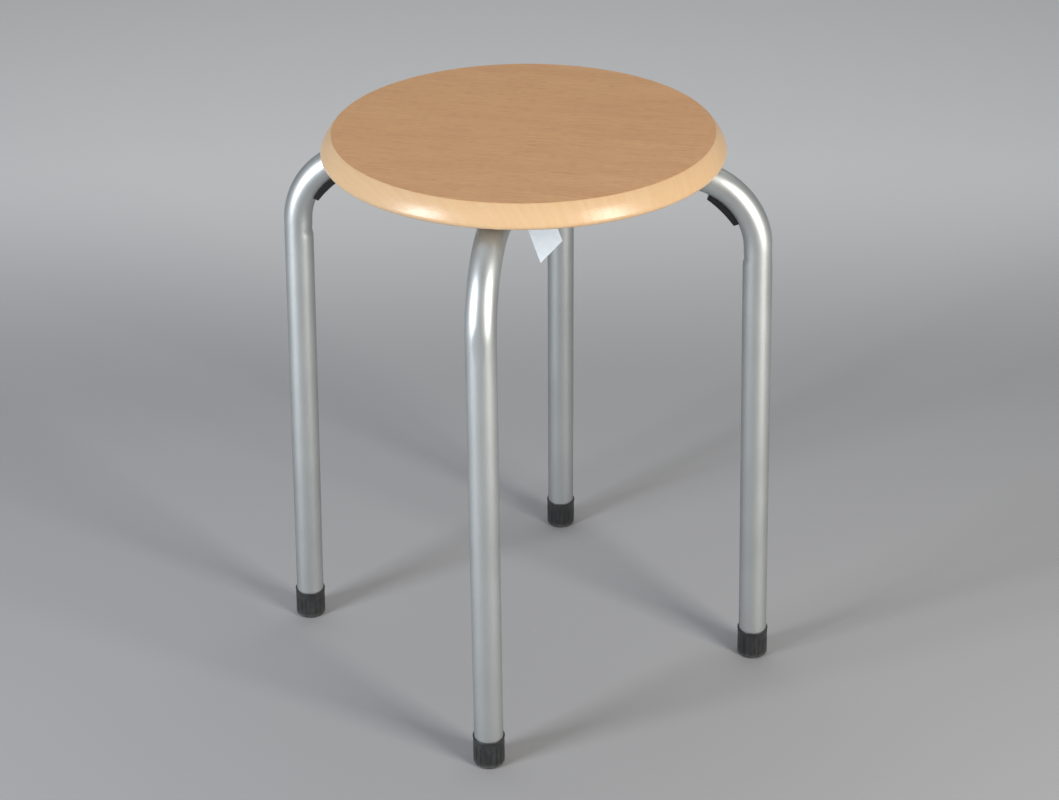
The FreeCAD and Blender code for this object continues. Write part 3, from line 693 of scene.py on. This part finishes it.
@dataclass(frozen=True)
class FrameTube:
    """A leg with its crosspiece, bent from one steel tube and painted, in millimetres.

    Attributes:
        azimuth: Direction of the leg, in degrees from X.
        reach: Seat axis to the corner of the centreline.
        splay: Lean of the leg, outwards to the floor, in degrees.
        flat: How far the bend's outer wall is pressed in.
        dent: How far its inner wall is.
        wrinkle: Depth of the wrinkle past the bend's inner side.
    """

    node: str
    kind: Kind
    azimuth: float
    reach: float
    splay: float
    radius: float = 11.2
    wall: float = 1.2
    bend_radius: float = 58.8
    cross_height: float = 421.6
    sole: float = 5.0
    fit_gap: float = 0.2
    flat: float = 1.0
    flat_from: float = 0.86
    flat_fade: Point = (4.0, 20.0)
    dent: float = 0.7
    dent_run: float = 3.0
    dent_fade: Point = (6.0, 13.0)
    wrinkle: float = 0.5
    wrinkle_rise: Point = (3.0, 8.0)
    wrinkle_fade: Point = (8.0, 13.0)
    before: tuple[float, ...] = (60.0, 40.0, 24.0, 16.0, 12.0, 8.0, 6.0, 4.0, 3.0, 2.0, 1.0)
    after: tuple[float, ...] = (1.0, 2.0, 3.0, 4.0, 5.0) + tuple(
        6.0 + 1.5 * step for step in range(18))
    plain_from: float = 34.0
    plain_steps: int = 14
    bend_steps: int = 60
    segments: int = 80

    @property
    def corner_run(self) -> float:
        """Distance from the corner of the centreline to each end of the bend."""
        return self.bend_radius * math.tan(math.radians(90 - self.splay) / 2)

    @property
    def bend_centre(self) -> Point:
        """Distance from the axis and height of the bend's centre."""
        return self.reach - self.corner_run, self.cross_height - self.bend_radius

    @property
    def foot_radius(self) -> float:
        """Distance from the seat axis to the leg's centreline at the floor."""
        return self.reach + self.cross_height * math.tan(math.radians(self.splay))

    @property
    def turn(self) -> Matrix:
        """Turn from the leg's plane to the row frame."""
        return Matrix.Rotation(math.radians(self.azimuth), 4, "Z")

    def half(self) -> list[Station]:
        """One half of the tube.

        Returns:
            Cross-sections from the middle of the crosspiece to the foot.
        """
        middle, low = self.bend_centre
        upright = (0.0, 1.0)
        stations = [Station(0.0, self.cross_height, upright)]
        for before in self.before:
            dent = self.dent * ease(-before, -self.dent_run, 0.0)
            stations.append(Station(middle - before, self.cross_height, upright, 0.0, dent))
        for step in range(self.bend_steps + 1):
            angle = math.radians(90 + (self.splay - 90) * step / self.bend_steps)
            outward = (math.cos(angle), math.sin(angle))
            place = (middle + self.bend_radius * outward[0], low + self.bend_radius * outward[1])
            flat = self.flat * ease(step, self.flat_from * self.bend_steps, self.bend_steps)
            stations.append(Station(*place, outward, flat, self.dent))
        last = stations[-1]
        lean = math.radians(self.splay)
        down = (math.sin(lean), -math.cos(lean))
        end = (last.height - self.sole) / math.cos(lean)
        plain = [self.plain_from + (end - self.plain_from) * step / self.plain_steps
                 for step in range(self.plain_steps + 1)]
        for distance in [*self.after, *plain]:
            flat = self.flat * (1 - ease(distance, *self.flat_fade))
            dent = self.dent * (1 - ease(distance, *self.dent_fade))
            deep = self.wrinkle * ease(distance, *self.wrinkle_rise)
            dent += deep * (1 - ease(distance, *self.wrinkle_fade))
            place = (last.along + down[0] * distance, last.height + down[1] * distance)
            stations.append(Station(*place, last.outward, flat, dent))
        return stations

    def rings(self, radius: float) -> list[Ring]:
        """Rings of one wall, from end to end of the tube.

        Args:
            radius: Radius of the wall.

        Returns:
            The rings.
        """
        stations = self.half()
        if self.kind is Kind.LONG:
            stations = [station.mirrored() for station in stations[:0:-1]] + stations
        rings = [station.ring(radius, self.segments) for station in stations]
        if self.kind is Kind.SHORT:
            mouth = self.radius + self.fit_gap
            for point in rings[0]:
                point.x = math.sqrt(max(mouth ** 2 - (point.z - self.cross_height) ** 2, 0.0))
        return rings

    def build(self) -> None:
        """Makes the tube with its bore."""
        bore = self.rings(self.radius - self.wall)
        shell = Shell().loft(self.rings(self.radius) + bore[::-1], closed=True)
        name = self.node.replace("leg_tube", "tube")
        show(shell.build(name, self.turn, sharp=60), self.node, SILVER)


@dataclass(frozen=True)
class WeldBead:
    """Rippled weld round the coped end of a short tube, in millimetres."""

    tube: FrameTube
    node: str
    radius: float = 1.1
    swell: float = 1.0
    ripple: float = 0.12
    ripples: int = 40
    out: float = 0.2
    spread: float = 1.01
    blunt: float = 0.02
    head_room: float = 0.3
    steps: int = 160
    segments: int = 14

    def build(self) -> None:
        """Makes the bead."""
        tube = self.tube
        path, radii, outward = [], [], []
        for step in range(self.steps):
            angle = math.tau * step / self.steps
            side, rise = math.cos(angle), math.sin(angle)
            away = math.sqrt(side ** 2 + self.blunt)
            ripple = self.ripple * math.sin(step * math.tau * self.ripples / self.steps)
            path.append(Vector((tube.radius * away + self.out, tube.radius * side * self.spread,
                                tube.cross_height + tube.radius * rise * self.spread)))
            radii.append((self.radius + self.swell * abs(side)) + ripple)
            outward.append(Vector((1.0, side, rise)))
        rings = wire(path, radii, outward, self.segments, closed=True)
        ceiling = tube.cross_height + tube.radius - self.head_room
        for ring in rings:
            for point in ring:
                point.z = min(point.z, ceiling)
        name = self.node.replace("weld_bead", "bead")
        show(Shell().loft(rings, closed=True).build(name, tube.turn, sharp=80), self.node, WELD)


@dataclass(frozen=True)
class FootCap:
    """Fluted rubber cap on the end of a leg, in millimetres."""

    tube: FrameTube
    node: str
    outside: float = 12.1
    height: float = 25.0
    inside: float = 11.25
    sole: float = 5.0
    trim: float = 0.4
    edge_round: float = 3.0
    lip: float = 0.25
    lip_height: float = 1.0
    band: float = 4.5
    flutes: int = 18
    flute_depth: float = 0.55
    flute_reach: float = 0.55
    fade: float = 2.0
    fade_step: float = 0.25
    fade_steps: int = 9
    wall_steps: int = 6
    bead_foot: float = 0.35
    bead_flank: tuple[Point, ...] = ((-0.12, -0.08), (0.0, 0.15))
    bead_crest: tuple[Point, ...] = ((0.0, -0.3), (-0.1, -0.08), (-0.3, 0.0))
    mouth_round: float = 0.15
    rear_turn: float = 7.0
    steps_per_flute: int = 14

    def profile(self) -> list[tuple[float, float, float]]:
        """Wall from the sole up and back inside.

        Returns:
            Points of (radius, height, share of the flute's depth).
        """
        rise = self.edge_round - self.trim
        corner = arc((self.outside - self.edge_round, rise), self.edge_round, -90, 0, 9)
        points = [(x, z, ease(z, -self.trim, rise)) for x, z in corner]
        under = self.height - self.lip_height
        top = under - self.band - self.fade
        points += [(self.outside, rise + (top - rise) * step / self.wall_steps, 1.0)
                   for step in range(1, self.wall_steps + 1)]
        points += [(self.outside, top + self.fade_step * step, 1 - ease(step, 1, self.fade_steps))
                   for step in range(1, self.fade_steps + 1)]
        crown = self.outside + self.lip
        rim = [(self.outside, under - self.bead_foot)]
        rim += [(crown + out, under + up) for out, up in self.bead_flank]
        rim += [(crown + out, self.height + up) for out, up in self.bead_crest]
        rim += [(self.inside + self.mouth_round, self.height),
                (self.inside, self.height - self.mouth_round), (self.inside, self.sole)]
        return points + [(radius, height, 0.0) for radius, height in rim]

    def build(self) -> None:
        """Makes the cap about the leg's axis and trims it level with the floor."""
        count = self.flutes * self.steps_per_flute
        rings = []
        for radius, height, share in self.profile():
            ring = []
            for step in range(count):
                angle = math.tau * step / count
                off = (step % self.steps_per_flute) / self.steps_per_flute
                gap = min(off, 1 - off) * math.tau * self.outside / self.flutes
                groove = self.flute_depth * share * math.exp(-(gap / self.flute_reach) ** 2)
                reach = radius - groove
                ring.append(Vector((reach * math.cos(angle), reach * math.sin(angle), height)))
            rings.append(ring)
        foot = Matrix.Translation((self.tube.foot_radius, 0, 0))
        place = self.tube.turn @ foot @ Matrix.Rotation(math.radians(-self.tube.splay), 4, "Y")
        if self.node.endswith(("rear_left", "rear_right")):
            place = place @ Matrix.Rotation(math.radians(self.rear_turn), 4, "Z")
        shell = Shell().loft(rings, caps=True)
        name = self.node.replace("foot_cap", "cap")
        show(shell.build(name, place, sharp=50, lowest=0.0), self.node, CAP)


@dataclass(frozen=True)
class StackingPad:
    """Plastic saddle on the inner side of a bend, with its snap peg, in millimetres."""

    tube: FrameTube
    node: str
    angle: float = 37.0
    width: float = 12.5
    end_thickness: float = 2.0
    face_round: float = 90.0
    edge: float = 0.6
    peg_radius: float = 3.0
    peg_length: float = 6.0
    saddle_steps: int = 14
    edge_steps: int = 6
    run_steps: int = 24
    peg_segments: int = 24

    def spoke(self, off: float) -> Vector:
        """Unit vector from the bend's centre, at an angle off the pad's middle."""
        swing = math.radians((90 + self.tube.splay) / 2 + off)
        return Vector((math.cos(swing), 0, math.sin(swing)))

    def face_distance(self, off: float) -> float:
        """Distance from the bend's centre to the hollow face.

        Args:
            off: Angle off the pad's middle, in degrees.

        Returns:
            The distance.
        """
        end = self.tube.bend_radius - self.tube.radius - self.end_thickness
        half = math.radians(self.angle / 2)
        back = math.sqrt(self.face_round ** 2 - (end * math.sin(half)) ** 2) - end * math.cos(half)
        across = back * math.sin(math.radians(off))
        return math.sqrt(self.face_round ** 2 - across ** 2) - back * math.cos(math.radians(off))

    def section(self, face: float, drop: float) -> list[Point]:
        """Points of (distance from the tube's axis, side), with the long edges rounded.

        Args:
            face: Distance from the tube's axis to the face.
            drop: How far the face is lowered and narrowed by the round of the pad's end.

        Returns:
            The closed outline.
        """
        half = self.width / 2
        saddle = []
        for step in range(self.saddle_steps + 1):
            side = half * (2 * step / self.saddle_steps - 1)
            cosine = math.sqrt(1 - (side / self.tube.radius) ** 2)
            saddle.append((self.tube.radius * cosine - self.tube.dent * cosine ** 2, side))
        middle = (face - self.edge, half - self.edge)
        corner = arc(middle, self.edge - drop, 90, 0, self.edge_steps)
        return saddle + corner + [(reach, -side) for reach, side in reversed(corner)]

    def build(self) -> None:
        """Makes the saddle along the bend, and its peg."""
        tube = self.tube
        last = self.angle / 2
        rounded = math.degrees(self.edge / self.face_distance(last))
        quarter = [math.radians(90 / self.edge_steps * step) for step in range(1, self.edge_steps)]
        end = [(last - rounded * (1 - math.sin(angle)), self.edge * (1 - math.cos(angle)))
               for angle in quarter]
        run = [((last - rounded) * (2 * step / self.run_steps - 1), 0.0)
               for step in range(self.run_steps + 1)]
        middle, low = tube.bend_centre
        centre = Vector((middle, 0, low))
        rings = []
        for off, drop in [(-off, drop) for off, drop in reversed(end)] + run + end:
            outward = self.spoke(off)
            axis = centre + outward * tube.bend_radius
            face = tube.bend_radius - self.face_distance(off)
            rings.append([axis - outward * reach + Vector((0, side, 0))
                          for reach, side in self.section(face, drop)])
        shell = Shell().loft(rings, caps=True)
        outward = self.spoke(0.0)
        start = centre + outward * (self.face_distance(0.0) + self.end_thickness)
        ends = [start, start + outward * (self.end_thickness + self.peg_length)]
        sideways = [Vector((0, 1, 0))] * 2
        shell.loft(wire(ends, [self.peg_radius] * 2, sideways, self.peg_segments), caps=True)
        name = self.node.replace("stacking_pad", "pad")
        show(shell.build(name, tube.turn, sharp=40), self.node, PAD)


@dataclass(frozen=True)
class SeatScrew:
    """Pan-head screw with a cross recess, head down under a crosspiece, in millimetres."""

    tube: FrameTube
    node: str
    circle: float = 95.0
    length: float = 35.0
    point: float = 4.0
    pitch: float = 1.8
    neck: float = 3.0
    tip: tuple[Point, ...] = ((0.12, 0.0), (0.5, 0.8), (1.6, 2.8))
    thread: tuple[Point, ...] = ((2.4, 0.0), (2.4, 0.15), (1.85, 0.8), (1.85, 1.1))
    head: tuple[Point, ...] = (
        (2.0, 2.5), (2.1, 0.1), (4.6, 0.0), (4.75, -0.12), (4.75, -0.75), (4.66, -1.15),
        (4.35, -1.7), (3.8, -2.15), (3.0, -2.5), (2.0, -2.7), (1.0, -2.79))
    arm: float = 2.3
    slot: float = 0.55
    recess: tuple[Point, ...] = ((1.02, -3.4), (0.6, -1.2))
    spin: float = 0.7
    spin_start: float = 20.0
    segments: int = 48

    def build(self) -> None:
        """Makes the threaded shank and the domed head, and carves the recess."""
        profile = [(radius, self.length - down) for radius, down in self.tip]
        for turn in range(int((self.length - self.point - self.neck) / self.pitch)):
            high = self.length - self.point - turn * self.pitch
            profile += [(radius, high - down) for radius, down in self.thread]
        shell = Shell().loft(turned([*profile, *self.head], self.segments), caps=True)
        screw = shell.build(self.node.replace("seat_screw", "screw"), sharp=40)

        arm, slot = self.arm, self.slot
        cross = [(x * across - y * along, x * along + y * across)
                 for across, along in ((1, 0), (0, 1), (-1, 0), (0, -1))
                 for x, y in ((arm, -slot), (arm, slot), (slot, slot))]
        rings = [[Vector((x * narrow, y * narrow, z)) for x, y in cross]
                 for narrow, z in self.recess]
        carve(screw, Shell().loft(rings, caps=True).build("recess_cutter"))

        tube = self.tube
        seating = Matrix.Translation((self.circle, 0, tube.cross_height - tube.radius))
        spin = math.radians(tube.azimuth * self.spin + self.spin_start)
        place = tube.turn @ seating @ Matrix.Rotation(spin, 4, "Z")
        move = Matrix.Translation(place.translation * MM) @ place.to_3x3().to_4x4()
        screw.data.transform(move)
        show(screw, self.node, ZINC)


# Tag

@dataclass(frozen=True)
class PaperTag:
    """Blank folded card, stapled under the seat, in millimetres."""

    across: float = -42.8
    along: float = -67.0
    turn: float = 19.9
    width: float = 30.0
    length: float = 54.0
    paper: float = 0.35
    tilt: float = 13.9
    gape: float = 1.5
    lean: float = 11.8
    fan: float = 2.5
    flap: float = 9.0
    front_curl: float = 0.9
    rear_curl: float = -0.3
    near_bow: float = 0.4
    crown: float = 10.0
    wire_radius: float = 0.4
    wire_bend: float = 0.9
    staple_leg: float = 5.97
    knee: float = 2.0
    flap_steps: int = 8
    rows: int = 24
    columns: int = 12

    @property
    def place(self) -> Matrix:
        """From the middle of the fold to the row frame."""
        fold = Matrix.Translation((self.across, self.along, Seat().underside))
        return fold @ Matrix.Rotation(math.radians(self.turn), 4, "Z")

    def leaf(self, tilt: float, lean: float, curl: float) -> list[Ring]:
        """One hanging leaf.

        Args:
            tilt: Degrees from upright.
            lean: Degrees by which it hangs askew.
            curl: How far its free end bends out, in millimetres.

        Returns:
            Rings from the fold to the free end.
        """
        askew, steep = math.radians(lean), math.radians(tilt)
        half = self.width / 2 / math.cos(askew)
        foot = Vector((self.length * math.sin(askew) - half, -self.length * math.cos(askew)))
        far = foot + Vector((self.width * math.cos(askew), self.width * math.sin(askew)))
        normal = Vector((0, math.cos(steep), -math.sin(steep)))
        rings = []
        for row in range(self.rows + 1):
            share = row / self.rows
            left = Vector((-half, 0)).lerp(foot, share)
            right = Vector((half, 0)).lerp(far, share)
            front, back = [], []
            for column in range(self.columns + 1):
                spot = left.lerp(right, column / self.columns)
                side = self.near_bow + (1 - self.near_bow) * column / self.columns
                bow = curl * share ** 2 * side
                flat = Vector((spot.x, spot.y * math.sin(steep), spot.y * math.cos(steep)))
                front.append(flat - normal * bow)
                back.append(flat - normal * bow + normal * self.paper)
            rings.append(front + back[::-1])
        return rings

    def build(self) -> None:
        """Makes the card and its staple."""
        half = self.width / 2 / math.cos(math.radians(self.lean))
        edge = ((-half, 0.0), (half, 0.0), (half, -self.paper), (-half, -self.paper))
        flap = []
        for step in range(self.flap_steps + 1):
            y = self.paper - (self.flap + self.paper) * step / self.flap_steps
            flap.append([Vector((x, y, z)) for x, z in edge])
        shell = Shell().loft(flap, caps=True)
        front = self.leaf(self.tilt, self.lean, self.front_curl)
        rear = self.leaf(self.tilt - self.gape, self.lean + self.fan, self.rear_curl)
        shell.loft(front, caps=True).loft(rear, caps=True)
        show(shell.build("card_tag", self.place, sharp=30), "paper_tag", CARD)

        reach, low = self.crown / 2, -self.paper - self.wire_radius
        bend = (-reach + self.wire_bend, low + self.wire_bend)
        path = [Vector((-reach, 0, self.staple_leg)), Vector((-reach, 0, self.knee))]
        path += [Vector((x, 0, z)) for x, z in arc(bend, self.wire_bend, 180, 270, 7)]
        path += [Vector((-point.x, 0, point.z)) for point in reversed(path)]
        for point in path:
            point.y = -self.flap / 2
        rings = wire(path, [self.wire_radius] * len(path), [Vector((0, 1, 0))] * len(path), 14)
        staple = Shell().loft(rings, caps=True).build("wire_staple", self.place, sharp=60)
        show(staple, "tag_staple", STEEL)


# Studio

@dataclass(frozen=True)
class PhotoCamera:
    """Camera of the photograph, found by fitting the stool's outline to it."""

    focal: float = 2121.18
    width: int = 1059
    pitch: float = 0.4944
    yaw: float = 0.0019
    roll: float = -0.0082
    distance: float = 1480.90
    height: float = 1019.02
    turn: float = -35.01
    sensor: float = 36.0

    def build(self) -> None:
        """Places the camera and makes it the scene's."""
        level = math.cos(self.pitch)
        ahead = Vector((math.sin(self.yaw) * level, math.cos(self.yaw) * level,
                        -math.sin(self.pitch)))
        right = ahead.cross(Vector((0, 0, 1))).normalized()
        up = right.cross(ahead)
        across = right * math.cos(self.roll) + up * math.sin(self.roll)
        above = up * math.cos(self.roll) - right * math.sin(self.roll)
        axes = Matrix((across, above, -ahead)).transposed().to_4x4()
        data = bpy.data.cameras.new("photo_camera")
        data.sensor_width = self.sensor
        data.lens = self.focal * self.sensor / self.width
        made = bpy.data.objects.new("photo_camera", data)
        place = Matrix.Translation(Vector((0, -self.distance, self.height)) * MM)
        made.matrix_world = Matrix.Rotation(math.radians(self.turn), 4, "Z") @ place @ axes
        bpy.context.scene.collection.objects.link(made)
        bpy.context.scene.camera = made


@dataclass(frozen=True)
class SoftLight:
    """Soft box that faces the stool.

    Attributes:
        azimuth: Direction from the stool in the photograph's frame, in degrees from its X.
        distance: Level distance. This and the other lengths are in metres.
        power: Power in watts.
        aim: Greatest height at which it points.
    """

    name: str
    azimuth: float
    distance: float
    height: float
    size: Point
    power: float
    colour: str
    aim: float = 0.6

    def build(self, turn: float) -> None:
        """Places the lamp.

        Args:
            turn: Turn of the photograph's frame from the row frame, in degrees.
        """
        data = bpy.data.lights.new(self.name, "AREA")
        data.shape, data.energy = "RECTANGLE", self.power
        data.size, data.size_y = self.size
        data.color = linear(self.colour)[:3]
        made = bpy.data.objects.new(self.name, data)
        angle = math.radians(self.azimuth + turn)
        place = Vector((self.distance * math.cos(angle), self.distance * math.sin(angle),
                        self.height))
        sight = Vector((0, 0, min(self.height, self.aim))) - place
        made.location = place
        made.rotation_euler = sight.to_track_quat("-Z", "Y").to_euler()
        bpy.context.scene.collection.objects.link(made)


@dataclass(frozen=True)
class Studio:
    """Pale floor, soft lights, an even surround and the camera."""

    floor: StudioPaper = StudioPaper("matt studio floor", None, "#949597", 0.9)
    floor_radii: tuple[float, ...] = (0.5, 600.0, 2500.0, 9000.0)
    floor_segments: int = 96
    surround: str = "#9EA1A4"
    surround_strength: float = 0.60
    lights: tuple[SoftLight, ...] = (
        SoftLight("left_softbox", -146.0, 2.0, 0.83, (0.58, 1.30), 47.0, "#F6F9FF"),
        SoftLight("right_softbox", -44.0, 1.5, 0.77, (0.48, 1.20), 29.2, "#FFF8F0"),
        SoftLight("overhead_softbox", 90.0, 1.3, 2.7, (3.4, 2.4), 33.0, "#FFFFFF"),
    )

    def build(self) -> None:
        """Makes the stage."""
        scene = bpy.context.scene
        scene.view_settings.view_transform = "Standard"
        camera = PhotoCamera()
        camera.build()
        for light in self.lights:
            light.build(camera.turn)
        world = scene.world or bpy.data.worlds.new("surround")
        scene.world = world
        world.use_nodes = True
        world.node_tree.nodes.clear()
        settings = {"Color": linear(self.surround), "Strength": self.surround_strength}
        glow = add_node(world.node_tree, "Background", settings)
        add_node(world.node_tree, "OutputWorld", links={"Surface": glow.outputs[0]})
        rings = turned([(radius, 0.0) for radius in self.floor_radii], self.floor_segments)
        floor = Shell().loft(rings).build("studio_floor")
        floor.data.materials.append(self.floor.material())


@dataclass(frozen=True)
class Stool:
    """The whole stool."""

    seat: Seat = Seat()
    tubes: tuple[FrameTube, ...] = (
        FrameTube("long_leg_tube", Kind.LONG, -45.0, 175.5, 1.75),
        FrameTube("short_leg_tube_front_left", Kind.SHORT, 225.0, 177.5, 0.0),
        FrameTube("short_leg_tube_rear_right", Kind.SHORT, 45.0, 177.5, 0.0),
    )

    def legs(self) -> list[tuple[str, FrameTube]]:
        """Name of each leg with a tube that stands in its direction."""
        long, front, rear = self.tubes
        return [("front_right", long), ("rear_left", replace(long, azimuth=long.azimuth + 180)),
                ("front_left", front), ("rear_right", rear)]

    def build(self) -> None:
        """Makes every piece."""
        self.seat.build()
        for tube in self.tubes:
            tube.build()
            if tube.kind is Kind.SHORT:
                WeldBead(tube, tube.node.replace("short_leg_tube", "weld_bead")).build()
        for name, tube in self.legs():
            FootCap(tube, "foot_cap_" + name).build()
            StackingPad(tube, "stacking_pad_" + name).build()
            SeatScrew(tube, "seat_screw_" + name).build()
        PaperTag().build()


def main() -> None:
    """Builds the stool and the studio."""
    logging.basicConfig(level=logging.INFO, format="%(message)s")
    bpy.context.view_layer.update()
    Stool().build()
    Studio().build()


if __name__ == "__main__":
    main()
